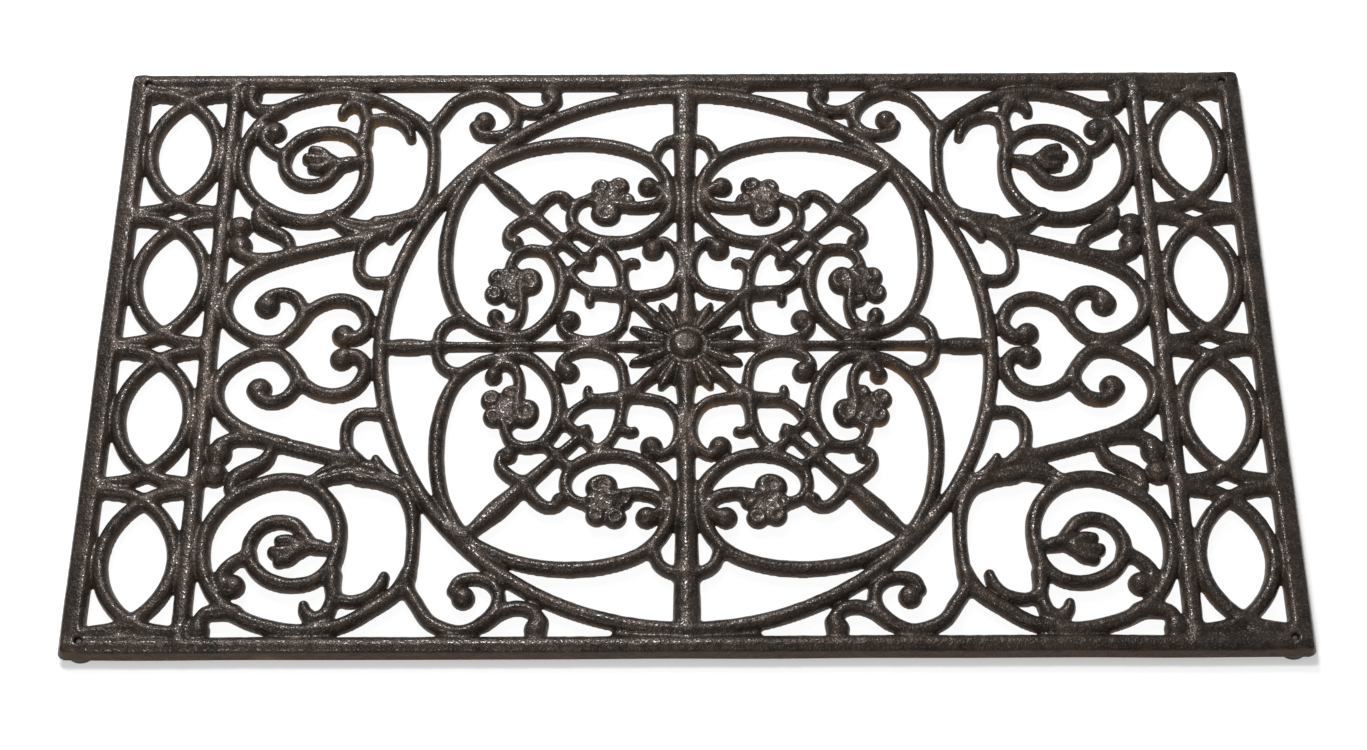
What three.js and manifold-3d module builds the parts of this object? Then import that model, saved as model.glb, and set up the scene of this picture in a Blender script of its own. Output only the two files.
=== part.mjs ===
// Cast iron door mat: one sand casting of rails, lattice and scrollwork, on four push-in rubber feet.
// Millimetres, +Z up. The floor is z = 0, the middle of the mat is x = y = 0, and its front is at -Y.
import * as THREE from "three";
import { mergeVertices } from "three/addons/utils/BufferGeometryUtils.js";
import Module from "manifold-3d";

// Overall size, in plan.
const mat_length = 730;
const mat_width = 412;
const corner_radius = 5;

// Rails round the outside, and the straight bar between each lattice and the scrollwork.
const rail_height = 8.2;
const rail_edge_height = 6.5;
const rail_edge_draft = 2.6;
const long_rail_width = 13.5;
const side_rail_width = 15.5;
const inner_bar_width = 11.6;
const lattice_clear_width = 49;

// Scrollwork bars: the height of their crest, and the width under which a tip grows lower. A curl ends
// in a round button that stands a little higher.
const bar_height = 7.8;
const pointed_width = 6.5;
const button_height = 8.4;
const button_sides = 6;
const lattice_bar_width = 10;
const lattice_cells = 4;

// Medallion in the middle.
const ring_setback = 12.2;
const ring_width = 9.5;
const long_axis_bar_width = 7;
const cross_axis_bar_width = 12;
const rosette_radius = 36;
const rosette_boss_radius = 9.5;
const rosette_height = 10.5;

// Feet: the stem of each rubber foot is pushed up into a hole through a corner of the casting.
const ground_clearance = 5;
const foot_diameter = 19.6;
const foot_edge_round = 1.2;
const foot_inset_from_side = 13;
const foot_inset_from_front = 10;
const stem_hole_diameter = 4.4;
const stem_sunk_below_crest = 2.5;
const fit_gap = 0.3;

// How far a facet may cut inside the true curve.
const chord_error = 1;

const half_length = mat_length / 2;
const half_width = mat_width / 2;
const ring_outer = half_width - ring_setback;
const ring_line = ring_outer - ring_width / 2;
const inner_bar_far = half_length - side_rail_width - lattice_clear_width;
const inner_bar_line = inner_bar_far - inner_bar_width / 2;
const inner_bar_near = inner_bar_far - inner_bar_width;

// The routes below are drawn in millimetres for a ring of 193.3 mm, a panel that ends at 289.4 mm and a
// mat that is 211.7 mm from its middle to its front. The medallion scales with the ring, and the panels
// stretch between the ring, the inner bar and the long rails. Lobes that lie across the mat are a little
// flatter than those that lie along it.
const drawn_ring = 193.3;
const drawn_panel_end = 289.4;
const drawn_half_width = 211.7;
const cross_lobe_flattening = 0.12;
const flattening_reach = 170;
const ring_scale = ring_outer / drawn_ring;
const panel_scale = (inner_bar_near - ring_outer) / (drawn_panel_end - drawn_ring);
const width_scale = half_width / drawn_half_width;

function inMedallion([x, y, width]) {
  const beside = Math.max(0, 1 - (x / flattening_reach) ** 2);
  const inside = (1 - Math.abs(y) / drawn_ring) ** 2;
  const flatness = 1 - cross_lobe_flattening * beside * inside;
  return [x * ring_scale, y * ring_scale * flatness, width];
}

function inPanel([x, y, width]) {
  const inside = Math.min(x, drawn_ring) * ring_scale;
  const beyond = Math.max(x - drawn_ring, 0) * panel_scale;
  return [inside + beyond, y * width_scale, width];
}

const wasm = await Module();
wasm.setup();

function solid(geometry) {
  const bare = geometry.clone();
  bare.deleteAttribute("normal");
  bare.deleteAttribute("uv");
  const merged = mergeVertices(bare, 1e-4);
  const vertProperties = new Float32Array(merged.attributes.position.array);
  const triVerts = new Uint32Array(merged.index.array);
  return new wasm.Manifold(new wasm.Mesh({ numProp: 3, vertProperties, triVerts }));
}

function geometryOf(manifold) {
  const mesh = manifold.getMesh();
  const geometry = new THREE.BufferGeometry();
  geometry.setAttribute("position", new THREE.BufferAttribute(mesh.vertProperties, 3));
  geometry.setIndex(new THREE.BufferAttribute(mesh.triVerts, 1));
  geometry.computeVertexNormals();
  return geometry;
}

// Turns a geometry inside out, which a mirrored copy needs.
function flipped(geometry) {
  const turned = geometry.index ? geometry.clone() : mergeVertices(geometry);
  const index = turned.index.array;
  for (let i = 0; i < index.length; i += 3) {
    const kept = index[i + 1];
    index[i + 1] = index[i + 2];
    index[i + 2] = kept;
  }
  return turned;
}

function mirrored(geometry, across_x, across_y) {
  const copy = geometry.clone().scale(across_x ? -1 : 1, across_y ? -1 : 1, 1);
  return across_x === across_y ? copy : flipped(copy);
}

// Skins a row of equal closed sections, each anticlockwise for someone looking along the row, and caps it.
function skin(sections, closed = false) {
  const count = sections[0].length;
  const positions = sections.flat(2);
  const index = [];
  const last = closed ? sections.length : sections.length - 1;
  for (let i = 0; i < last; i++) {
    const here = i * count;
    const there = ((i + 1) % sections.length) * count;
    for (let j = 0; j < count; j++) {
      const k = (j + 1) % count;
      index.push(here + j, there + k, here + k);
      index.push(here + j, there + j, there + k);
    }
  }
  if (!closed) {
    const end = (sections.length - 1) * count;
    for (let j = 1; j < count - 1; j++) {
      index.push(0, j, j + 1);
      index.push(end, end + j + 1, end + j);
    }
  }
  const geometry = new THREE.BufferGeometry();
  geometry.setAttribute("position", new THREE.Float32BufferAttribute(positions, 3));
  geometry.setIndex(index);
  return geometry;
}

// The stations on a curve between which no chord strays from it by more than the given error.
function stations(curve, error) {
  const fine = curve.getPoints(curve.points.length * 12);
  const kept = [fine[0]];
  let from = 0;
  for (let to = 2; to < fine.length; to++) {
    const chord = new THREE.Line3(fine[from], fine[to]);
    const near = new THREE.Vector3();
    let stray = 0;
    for (let i = from + 1; i < to; i++) {
      chord.closestPointToPoint(fine[i], true, near);
      stray = Math.max(stray, near.distanceTo(fine[i]));
    }
    if (stray > error) {
      from = to - 1;
      kept.push(fine[from]);
    }
  }
  kept.push(fine[fine.length - 1]);
  return kept;
}

// One bar of the casting: flat underneath, with drafted sides that meet in a crest, or in a flat crown
// that is a share of its width. Each route point is [x, y, width].
function bar(route, { height = bar_height, error = chord_error, crown_share = 0, closed = false } = {}) {
  const knots = route.map(([x, y, width]) => new THREE.Vector3(x, y, width));
  const curve = new THREE.CatmullRomCurve3(knots, closed, "centripetal");
  const line = stations(curve, error);
  if (closed) {
    line.pop();
  }
  const end = line.length - 1;
  const sections = line.map((here, i) => {
    const before = line[closed ? (i + end) % line.length : Math.max(i - 1, 0)];
    const after = line[closed ? (i + 1) % line.length : Math.min(i + 1, end)];
    const along = new THREE.Vector2(after.x - before.x, after.y - before.y).normalize();
    const half = here.z / 2;
    const top = height * Math.min(1, 0.35 + here.z / pointed_width);
    const crown = half * crown_share;
    const crest = crown_share ? [[crown, top], [-crown, top]] : [[0, top]];
    return [[-half, 0], [half, 0], ...crest].map(([side, up]) => [
      here.x + along.y * side,
      here.y - along.x * side,
      ground_clearance + up,
    ]);
  });
  return skin(sections, closed);
}

// A rosette or flower: petals round a middle, with a valley between each two and a raised heart. Each
// petal is [direction, reach].
function blossom(x, y, petals, valley_share, points_per_petal, rings) {
  const outline = [];
  const count = petals.length;
  const turn = 2 * Math.PI;
  petals.forEach(([direction, reach], petal) => {
    const [before, reach_before] = petals[(petal + count - 1) % count];
    const after = petals[(petal + 1) % count][0];
    const start = direction - ((direction - before + turn) % turn) / 2;
    const end = direction + ((after - direction + turn) % turn) / 2;
    for (let i = 0; i < points_per_petal; i++) {
      const share = i / points_per_petal;
      const swell = Math.sin(Math.PI * share) ** 0.6;
      const valley = valley_share * Math.min(reach, i === 0 ? reach_before : reach);
      const first = start + (direction - start) * share * 2;
      const angle = share < 0.5 ? first : direction + (end - direction) * (share * 2 - 1);
      outline.push({ angle, swell, radius: valley + (reach - valley) * swell });
    }
  });
  const sections = rings.map(([share, petal_height, valley_height]) => {
    return outline.map(({ angle, swell, radius }) => [
      x + share * radius * Math.cos(angle),
      y + share * radius * Math.sin(angle),
      ground_clearance + valley_height + (petal_height - valley_height) * swell,
    ]);
  });
  return skin(sections.reverse());
}

// The round button that a curl ends in, flat underneath.
function button([x, y, size]) {
  const outline = [[0, 0], [0.5, 0], [0.36, 1], [0, 1]];
  const profile = outline.map(([out, up]) => new THREE.Vector2(out * size, up * button_height));
  const geometry = new THREE.LatheGeometry(profile, button_sides);
  return geometry.rotateX(Math.PI / 2).translate(x, y, ground_clearance);
}

// Swaps a drawn route across the medallion's diagonal.
function swapped(route) {
  return route.map(([x, y, width]) => [y, x, width]);
}

// Medallion: the lobe that fills a quarter, from its top on the diagonal to the flower in its eye.
const lobe_half = [
  [130, 130, 8.5], [141, 114, 9], [147.5, 99, 9.5], [151.5, 72, 10], [149.5, 46.5, 9.5], [142, 26, 9],
  [130, 13.5, 8.5], [115, 8, 8.5], [100, 8.5, 8.5], [87.5, 17, 8.5], [79, 31.5, 9], [76.5, 47, 9.5],
  [79.5, 60, 9.5], [88, 71, 8.5], [98, 73, 8], [106, 69, 7.5], [110, 60, 7.5],
];
const side_curl_half = [[98, 98, 7], [107, 92, 7.5], [112.5, 84, 7.5], [111.5, 77, 7], [107, 75, 6.5]];

// Medallion: what repeats eight times, drawn for the half of a quarter that lies along the long axis.
const stem = [[103, 46, 7.5], [101, 28, 7.5], [104, 17, 7.5], [111, 13, 7.5], [117, 17, 7.5], [119, 22, 7]];
const s_scroll = [
  [72, 21, 7.5], [76.5, 15, 7.5], [72, 8, 7.5], [62, 3.5, 7.5], [51.5, 5, 8], [41.5, 11.5, 8],
  [37, 25, 8.5], [38.5, 39.5, 8], [41.5, 56, 7.5], [47, 68, 7.5], [54, 73, 7.5], [60, 68, 7],
  [62.5, 58, 6.5],
];
const hook = [[41, 39, 6.5], [50, 40.5, 7], [56, 38.5, 7], [58.5, 33, 7], [58.5, 29.5, 6]];
const medallion_ends = [[119, 22.5, 11.5], [107, 77, 10.5], [71, 19.5, 14]];

// Medallion: what lies on the diagonal of a quarter, and the loop round the foot of an axis spindle.
const diagonal_spindle = [
  [130, 130, 7], [120, 120, 10], [112, 112, 12.5], [104, 104, 9.5], [96, 96, 7.5], [80, 80, 8],
  [66, 66, 7], [56, 56, 3],
];
const diagonal_tie = [[69, 85, 7], [77, 77, 8], [85, 69, 7]];
const diagonal_root = [[40, 40, 8.5], [20, 20, 11]];
const spindle_loop = [
  [140, 21, 7], [149.5, 17, 7], [153.5, 10, 7], [154.5, 0, 7], [153.5, -10, 7], [149.5, -17, 7],
  [140, -21, 7],
];

// Rays of the star in a quarter: each one's direction in degrees and its share of the star's radius.
const star_rays = [[0, 0.9], [21, 1], [45, 0.95], [64, 0.98]];

// Flower of five petals in the eye of a lobe: its place, and each petal's direction in degrees and reach.
const flower_place = [110, 46];
const flower_petals = [[41, 18], [100, 18], [157, 22.5], [262, 19], [333, 18]];

function flower(x, y, petals) {
  const rings = [[1, 0, 0], [0.85, 6.5, 5], [0.25, bar_height + 1, bar_height]];
  const [px, py] = inMedallion([x, y]);
  const turned = petals.map(([degrees, reach]) => [THREE.MathUtils.degToRad(degrees), reach * ring_scale]);
  return blossom(px, py, turned, 0.62, 3, rings);
}

function acrossDiagonal(half) {
  return [...half.slice(1).reverse(), ...swapped(half)];
}

function medallionQuarter() {
  const routes = [diagonal_spindle, diagonal_tie, diagonal_root];
  for (const route of [stem, s_scroll, hook]) {
    routes.push(route, swapped(route));
  }
  for (const half of [lobe_half, side_curl_half]) {
    routes.push(acrossDiagonal(half));
  }
  const ends = [...medallion_ends, ...swapped(medallion_ends)];
  const made = routes.map((route) => bar(route.map(inMedallion)));
  made.push(...ends.map((place) => button(inMedallion(place))));
  const [x, y] = flower_place;
  const across = flower_petals.map(([degrees, reach]) => [90 - degrees, reach]).reverse();
  made.push(flower(x, y, flower_petals), flower(y, x, across));
  return made;
}

// Corner panel of a quarter.
const panel_routes = [
  // The S-shaped bar beside the ring, up to the curl that it ends in, and that curl's small branch.
  [
    [197, 94, 7.5], [183, 96, 8.5], [170.5, 101, 10.5], [164, 114, 10.5], [161.5, 131, 10],
    [162, 150, 10], [163.5, 166, 10], [157.5, 177, 9.5], [150, 188, 9.5], [140, 193.5, 9.5],
    [130, 195, 9.5], [120, 190.5, 9.5], [112, 182, 9.5], [110.5, 171, 9], [116, 163.5, 8.5],
    [126, 160, 8.5], [134, 162, 8.5], [137, 168, 8.5],
  ],
  [[117, 190, 7.5], [108, 184, 7.5], [99, 181.5, 8], [90, 182, 9.5], [85, 189, 10.5]],
  // The big spiral and its return.
  [
    [164, 158, 9.5], [171, 170, 10], [184.5, 180.5, 10], [200, 190, 10], [225, 194.5, 10],
    [245, 191.5, 10], [263, 184, 10], [278, 170, 10], [286, 150, 10], [286, 131, 10], [278, 114, 10],
    [263, 101.5, 10], [245, 95, 10], [226.5, 97.5, 10], [214, 107.5, 10], [207, 121, 10],
    [205.5, 137, 9.5], [208, 155, 8.5], [208, 167, 8.5], [203, 173.5, 8.5], [195, 175, 8.5],
    [186, 171.5, 8.5], [181, 164, 8.5], [180, 157.5, 7],
  ],
  // The stem inside the big spiral, with the leaf that it ends in.
  [[208, 158, 8.5], [209, 174, 8.5], [212, 185, 10.5], [219, 187, 10.5], [224, 181, 9], [225.5, 173, 5]],
  // The inner spiral and the curl that grows from it.
  [
    [207, 146, 8.5], [212, 155, 8.5], [220, 162, 9], [234, 164.5, 9.5], [248.5, 160, 9.5],
    [258, 150, 9.5], [260, 138, 9.5], [253.5, 127, 9.5], [244, 121.5, 9.5], [233, 123, 9.5],
    [226, 131, 9.5], [220, 139, 8.5], [207, 141, 8.5],
  ],
  [[259, 145, 8.5], [267, 149, 9], [274, 158, 9.5], [273, 166, 9.5]],
  [[264, 184, 7.5], [273, 184, 8], [281, 184.5, 8.5], [285, 190, 8.5]],
  // The bud in the eye of the inner spiral.
  [[224, 138, 9.5], [231, 141, 16], [240, 143, 20], [247, 143, 11]],
  // The leaves between the ring and the side scroll.
  [[172, 95, 6.5], [185, 91, 13.5], [200, 87, 16.5], [214, 90, 14.5], [222, 94, 9.5], [228, 99, 5]],
  [[178, 96, 9.5], [183, 88, 9.5], [187, 80, 6]],
  [[271, 96, 7.5], [263, 89, 10.5], [254, 82, 10.5], [250, 72, 7.5]],
  // The loop that hangs on the ring.
  [[186, 48, 8.5], [199, 48.5, 8.5], [205, 55, 8.5], [206, 63, 8.5], [204.5, 72, 8.5], [197, 82, 9.5]],
  // The side scroll, its upper tail and its curl.
  [
    [200, 82, 9.5], [212, 78.5, 10], [230, 73.5, 10], [250, 67.5, 10], [268, 60, 10], [280, 51, 10],
    [287, 39, 10], [288, 28, 10], [284.5, 17, 10], [276, 8.5, 10], [263, 4, 10], [251, 5, 10],
    [242.5, 13.5, 10], [236.5, 24.5, 9.5], [227, 32.5, 9.5], [215, 35.5, 9.8], [204, 31.5, 10],
    [197.8, 23, 10], [197.3, 14, 10], [202.5, 7, 10], [210, 5.5, 9],
  ],
  [[244, 69, 8.5], [262, 65.5, 9], [275, 66, 9.5], [282, 71, 9.5]],
  [[238, 21, 8.5], [240, 31, 9.5], [245, 38, 9.5], [254, 40, 9.5], [261, 37, 9.5], [265, 31, 8.5]],
];
const panel_ends = [
  [131, 172.5, 14.5], [87.5, 193.5, 14.5], [267, 165, 15.5], [285, 194, 14.5], [284, 90, 16.5],
  [282, 77, 14.5], [212, 8.5, 15.5], [261, 30.5, 16.5],
];

function panelQuarter() {
  const routes = panel_routes.map((route) => bar(route.map(inPanel)));
  const ends = panel_ends.map((place) => button(inPanel(place)));
  return [...routes, ...ends];
}

// Half a circle of the lattice, from a cell's foot on one upright, over to the other, and back.
function latticeArc(cell_middle, cell_half, from, to) {
  const route = [];
  const steps = 6;
  for (let i = 0; i <= steps; i++) {
    const angle = -Math.PI / 2 + (Math.PI * i) / steps;
    const x = from + (to - from) * Math.cos(angle);
    route.push([x, cell_middle + cell_half * Math.sin(angle), lattice_bar_width]);
  }
  return route;
}

function latticeQuarter() {
  const reach = half_width - long_rail_width;
  const cell = (2 * reach) / lattice_cells;
  const near = inner_bar_far - lattice_bar_width * 0.27;
  const far = half_length - side_rail_width + lattice_bar_width * 0.1;
  const lean = lattice_bar_width * 0.4;
  const half = cell / 2 - lattice_bar_width * 0.13;
  const made = [];
  for (let i = 0; i < lattice_cells / 2; i++) {
    const middle = cell * (i + 0.5);
    made.push(bar(latticeArc(middle, half, far, near + lean)));
    made.push(bar(latticeArc(middle, half, near, far - lean)));
  }
  return made;
}

// The rails as one closed frame. Its section runs from the inner foot over the crest to the outer foot,
// and the crest of a side rail lies farther in than that of a long rail.
function railFrame() {
  const profile = [
    [1, 1, 0], [0.94, 0.95, rail_height * 0.55], [0.54, 0.7, rail_height],
    [rail_edge_draft / long_rail_width, rail_edge_draft / side_rail_width, rail_edge_height], [0, 0, 0],
  ];
  const corner_steps = 4;
  const sections = profile.map(([along_share, across_share, up]) => {
    const across = half_length - across_share * side_rail_width;
    const along = half_width - along_share * long_rail_width;
    const radius = Math.max(corner_radius * (1 - along_share), 0.6);
    const outline = [];
    for (let quarter = 0; quarter < 4; quarter++) {
      const sx = quarter === 0 || quarter === 3 ? 1 : -1;
      const sy = quarter < 2 ? 1 : -1;
      for (let i = 0; i <= corner_steps; i++) {
        const angle = (Math.PI / 2) * (quarter + i / corner_steps);
        outline.push([
          sx * (across - radius) + radius * Math.cos(angle),
          sy * (along - radius) + radius * Math.sin(angle),
          ground_clearance + up,
        ]);
      }
    }
    return outline;
  });
  return skin(sections, true);
}

// The ring, the upright bars and the two axes.
function ringAndBars() {
  const ring = [];
  const ring_knots = 24;
  for (let i = 0; i < ring_knots; i++) {
    const angle = (2 * Math.PI * i) / ring_knots;
    ring.push([ring_line * Math.cos(angle), ring_line * Math.sin(angle), ring_width]);
  }
  const reach = half_width - long_rail_width * 0.6;
  const made = [bar(ring, { error: chord_error / 2, crown_share: 0.4, closed: true })];
  for (const side of [-1, 1]) {
    const upright = [-reach, reach].map((y) => [side * inner_bar_line, y, inner_bar_width]);
    const web = [-40, -15, 15, 40].map((x) => [x * ring_scale, side * (ring_outer - 1), 8]);
    made.push(bar(upright, { crown_share: 0.4 }), bar(web, { height: bar_height * 0.6, crown_share: 0.8 }));
    const cross_axis = [
      [5, cross_axis_bar_width], [126, cross_axis_bar_width], [156, 14], [174, 15.5],
    ];
    const long_axis = [[5, long_axis_bar_width], [152, long_axis_bar_width], [171, 12]];
    const across = cross_axis.map(([out, width]) => inMedallion([0, side * out, width]));
    const along = long_axis.map(([out, width]) => inMedallion([side * out, 0, width]));
    made.push(bar([...across, [0, side * ring_line, 15.5]]), bar([...along, [side * ring_line, 0, 8]]));
    made.push(bar(spindle_loop.map(([x, y, width]) => inMedallion([side * x, y, width]))));
    made.push(bar(spindle_loop.map(([x, y, width]) => inMedallion([y, side * x, width]))));
  }
  return made;
}

// The star in the middle: sixteen rays round a boss, of which the axes and the diagonals carry on eight.
function rosette() {
  const petals = [];
  for (let quarter = 0; quarter < 4; quarter++) {
    const flip = quarter % 2;
    for (const [degrees, reach] of star_rays) {
      const turned = flip ? 90 - degrees : degrees;
      petals.push([THREE.MathUtils.degToRad(90 * quarter + turned), reach * rosette_radius]);
    }
  }
  petals.sort((one, other) => one[0] - other[0]);
  const boss = rosette_boss_radius / rosette_radius;
  const rings = [
    [1, 0, 0], [0.85, 7, 4], [boss * 1.2, 7, 6], [boss * 0.8, rosette_height, rosette_height],
  ];
  return blossom(0, 0, petals, 0.76, 3, rings);
}

const foot_places = [];
for (const side of [-1, 1]) {
  for (const end of [-1, 1]) {
    const x = side * (half_length - foot_inset_from_side);
    const y = end * (half_width - foot_inset_from_front);
    foot_places.push([x, y]);
  }
}

// Everything that the iron was cast as in one piece.
function casting() {
  const quarter = [...medallionQuarter(), ...panelQuarter(), ...latticeQuarter()];
  const made = [railFrame(), ...ringAndBars(), rosette()];
  for (const across_x of [false, true]) {
    for (const across_y of [false, true]) {
      made.push(...quarter.map((geometry) => mirrored(geometry, across_x, across_y)));
    }
  }
  const hole_length = rail_height * 2;
  const hole = new THREE.CylinderGeometry(stem_hole_diameter / 2, stem_hole_diameter / 2, hole_length, 10);
  hole.rotateX(Math.PI / 2).translate(0, 0, ground_clearance + rail_height / 2);
  const holes = foot_places.map(([x, y]) => solid(hole.clone().translate(x, y, 0)));
  const body = wasm.Manifold.union(made.map(solid)).subtract(wasm.Manifold.union(holes));
  return geometryOf(body.asOriginal().simplify(0.1));
}

// A rubber foot: a disc that stands on the floor, and the stem that holds it in its hole.
function rubberFoot() {
  const top = ground_clearance - fit_gap;
  const stem_top = ground_clearance + rail_height - stem_sunk_below_crest;
  const stem_radius = stem_hole_diameter / 2 - fit_gap;
  const radius = foot_diameter / 2;
  const outline = [
    [0, 0], [radius - foot_edge_round, 0], [radius, foot_edge_round], [radius - 0.6, top],
    [stem_radius, top], [stem_radius, stem_top], [0, stem_top],
  ];
  const geometry = new THREE.LatheGeometry(outline.map(([out, up]) => new THREE.Vector2(out, up)), 20);
  return geometry.rotateX(Math.PI / 2);
}

const iron = new THREE.MeshStandardMaterial({ color: 0x3a3029, roughness: 0.5, metalness: 0.6 });
const rubber = new THREE.MeshStandardMaterial({ color: 0x161617, roughness: 0.85, metalness: 0 });

const group = new THREE.Group();
const casting_mesh = new THREE.Mesh(casting(), iron);
casting_mesh.name = "mat_casting";
group.add(casting_mesh);

const foot_names = ["front_left", "back_left", "front_right", "back_right"];
foot_places.forEach(([x, y], i) => {
  const foot = new THREE.Mesh(rubberFoot(), rubber);
  foot.name = "rubber_foot_" + foot_names[i];
  foot.position.set(x, y, 0);
  group.add(foot);
});

export default group;
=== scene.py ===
# Cast iron door mat, dressed for its picture. The casting is shaped here as sand would leave it: every
# bar, curl, petal and ray is a rounded form, and the forms melt into each other with cast fillets. Shapes
# are worked out in millimetres, and the Blender objects are in metres.
import math

import bpy
import numpy as np
from mathutils import Matrix, Vector


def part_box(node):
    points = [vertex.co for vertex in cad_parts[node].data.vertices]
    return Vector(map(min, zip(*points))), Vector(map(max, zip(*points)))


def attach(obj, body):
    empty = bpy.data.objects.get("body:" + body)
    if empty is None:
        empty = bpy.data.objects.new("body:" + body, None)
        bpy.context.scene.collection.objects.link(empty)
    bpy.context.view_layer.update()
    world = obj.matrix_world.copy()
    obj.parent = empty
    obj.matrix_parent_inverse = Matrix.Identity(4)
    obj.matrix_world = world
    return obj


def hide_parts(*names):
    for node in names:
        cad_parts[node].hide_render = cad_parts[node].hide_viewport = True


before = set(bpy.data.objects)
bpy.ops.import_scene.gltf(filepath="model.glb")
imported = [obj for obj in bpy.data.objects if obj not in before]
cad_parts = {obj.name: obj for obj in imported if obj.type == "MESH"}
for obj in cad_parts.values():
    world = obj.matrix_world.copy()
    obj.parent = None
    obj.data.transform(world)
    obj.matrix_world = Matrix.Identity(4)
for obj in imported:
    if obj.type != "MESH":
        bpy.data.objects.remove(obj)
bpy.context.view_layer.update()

MM = 0.001

# Overall size, from the frame.
casting_low, casting_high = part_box("mat_casting")
mat_length = round((casting_high.x - casting_low.x) / MM, 2)
mat_width = round((casting_high.y - casting_low.y) / MM, 2)
ground_clearance = round(casting_low.z / MM, 2)

# Rails, bars and feet, as in the solids.
corner_radius = 5
rail_height = 8.2
rail_edge_height = 6.5
rail_edge_draft = 2.6
long_rail_width = 13.5
side_rail_width = 15.5
long_rail_crest = 7.3
side_rail_crest = 10.8
inner_bar_width = 11.6
lattice_clear_width = 49
bar_height = 7.8
pointed_width = 6.5
button_height = 8.6
lattice_bar_width = 10
lattice_cells = 4
ring_setback = 12.3
ring_width = 9.9
ring_points = 48
long_axis_bar_width = 7
long_axis_root_width = 8
cross_axis_bar_width = 12
cross_axis_root_width = 16.5
foot_diameter = 19.6
foot_edge_round = 1.2
foot_top_round = 0.9
foot_side_draft = 0.6
foot_corner_steps = 6
foot_steps = 72
foot_inset_from_side = 13
foot_inset_from_front = 10
stem_hole_diameter = 4.4
stem_sunk_below_crest = 2.5
fit_gap = 0.3

# Half circles of the lattice. The first four are shares of the width of their bar: how deep they are
# rooted in the inner bar and in the side rail, how far their bulge stays from the root line of the other
# side, and how far their ends stay from the edge of their cell.
lattice_root_in_bar = 0.27
lattice_root_in_rail = 0.1
lattice_bulge_gap = 0.45
lattice_end_gap = 0.19
lattice_steps = 8
lattice_fillet = 1.6

# Low webs that join the lattice and the ring to the long rail.
lattice_web_reach = 13
lattice_web_width = 5
lattice_web_inset = 0.5
lattice_web_height = 0.8 * bar_height
ring_web_places = (-40, -15, 15, 40)
ring_web_width = 8
ring_web_inset = 1
ring_web_height = 0.6 * bar_height

# Carving in the corner panels: the groove in the leaf and the fingers of the bud.
leaf_groove = 1.6
leaf_groove_share = 0.16
leaf_side_power = 2.2
finger_height = 8.4
finger_fillet = 0.7

# Star in the middle: a thin disc, its rays as (distance out, width), and a boss in a round groove.
star_disc_reach = 14
star_disc_width = 30
star_disc_height = 4.4
star_disc_power = 3.0
star_disc_fillet = 1.0
ray_height = 7.6
ray_side_power = 1.5
ray_fillet = 0.5
ray_outline = [(10, 4.6), (15, 7.0), (21, 9.0), (26.5, 9.2), (31, 7.6), (34.5, 5.0)]
boss_width = 19.8
boss_height = 9.7
boss_power = 6.0
boss_fillet = 0.5
boss_groove_line = 11.6
boss_groove_height = 8.4
boss_groove_radius = 2.7
boss_groove_edge_round = 0.8
star_region_radius = 44

# Flowers: petals rise from their foot and have a dent over them, and a hollow lies over the heart. Half
# a petal's depth is a share of its width. Half a dent's length and width are shares of the petal's half
# depth and width.
petal_foot = 2.0
petal_rise = 6.6
petal_fillet = 2.0
petal_depth_share = 0.46
lip_depth_share = 0.42
least_lip_width = 15
dent_height = 10.7
dent_depth = 4.4
dent_length_share = 0.68
dent_width_share = 0.38
dent_edge_round = 1.6
heart_width = 20.5
heart_height = 7.2
hollow_height = 10.8
hollow_sizes = (5.5, 5.5, 4.2)

# Surface left by the mould: lumps as (height, size, seed), and a slow sway of the whole casting.
surface_lumps = [(0.16, 5.0, 1), (0.09, 2.4, 2)]
sway = 0.35
sway_size = 60.0
sway_seeds = (3, 4)
highest_iron = 10.5

# The casting is shaped in small cells. Forms that meet share a fillet, and some have one of their own.
cell = 0.95
fillet = 2.4
button_fillet = 1.6
lump_fillet = 1.5
mitre_fillet = 1.5
outer_edge_round = 0.6
hole_edge_round = 0.8

# Powers of a section: it is upright at its foot and rounded to its crest.
bar_side_power = 1.9
rail_side_power = 2.4
rail_inner_power = 2.2
rail_slope_power = 1.6
button_side_power = 2.1
button_crest_power = 2.4
crest_power = 2.6
section_power = 2.15

# A bar gets lower where it is narrow, down to this share of its height at a tip.
lowest_tip_share = 0.35

half_length = mat_length / 2
half_width = mat_width / 2
ring_outer = half_width - ring_setback
ring_line = ring_outer - ring_width / 2
inner_bar_far = half_length - side_rail_width - lattice_clear_width
inner_bar_line = inner_bar_far - inner_bar_width / 2
inner_bar_near = inner_bar_far - inner_bar_width
inner_bar_start = -20
inner_bar_end = half_width - long_rail_width * 0.6
drawn_ring = 193.3
drawn_panel_end = 289.4
drawn_half_width = 211.7
ring_scale = ring_outer / drawn_ring
panel_scale = (inner_bar_near - ring_outer) / (drawn_panel_end - drawn_ring)
width_scale = half_width / drawn_half_width


def in_medallion(route):
    """A route drawn inside the ring, brought to the size of the ring."""
    return [(x * ring_scale, y * ring_scale, width) for x, y, width in route]


def in_panel(route):
    """A route drawn outside the ring, brought to the room between ring, inner bar and long rail."""
    placed = []
    for x, y, width in route:
        inside = min(x, drawn_ring) * ring_scale
        beyond = max(x - drawn_ring, 0) * panel_scale
        placed.append((inside + beyond, y * width_scale, width))
    return placed


def swapped(route):
    """A route's mirror image over the diagonal."""
    return [(y, x, width) for x, y, width in route]


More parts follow.
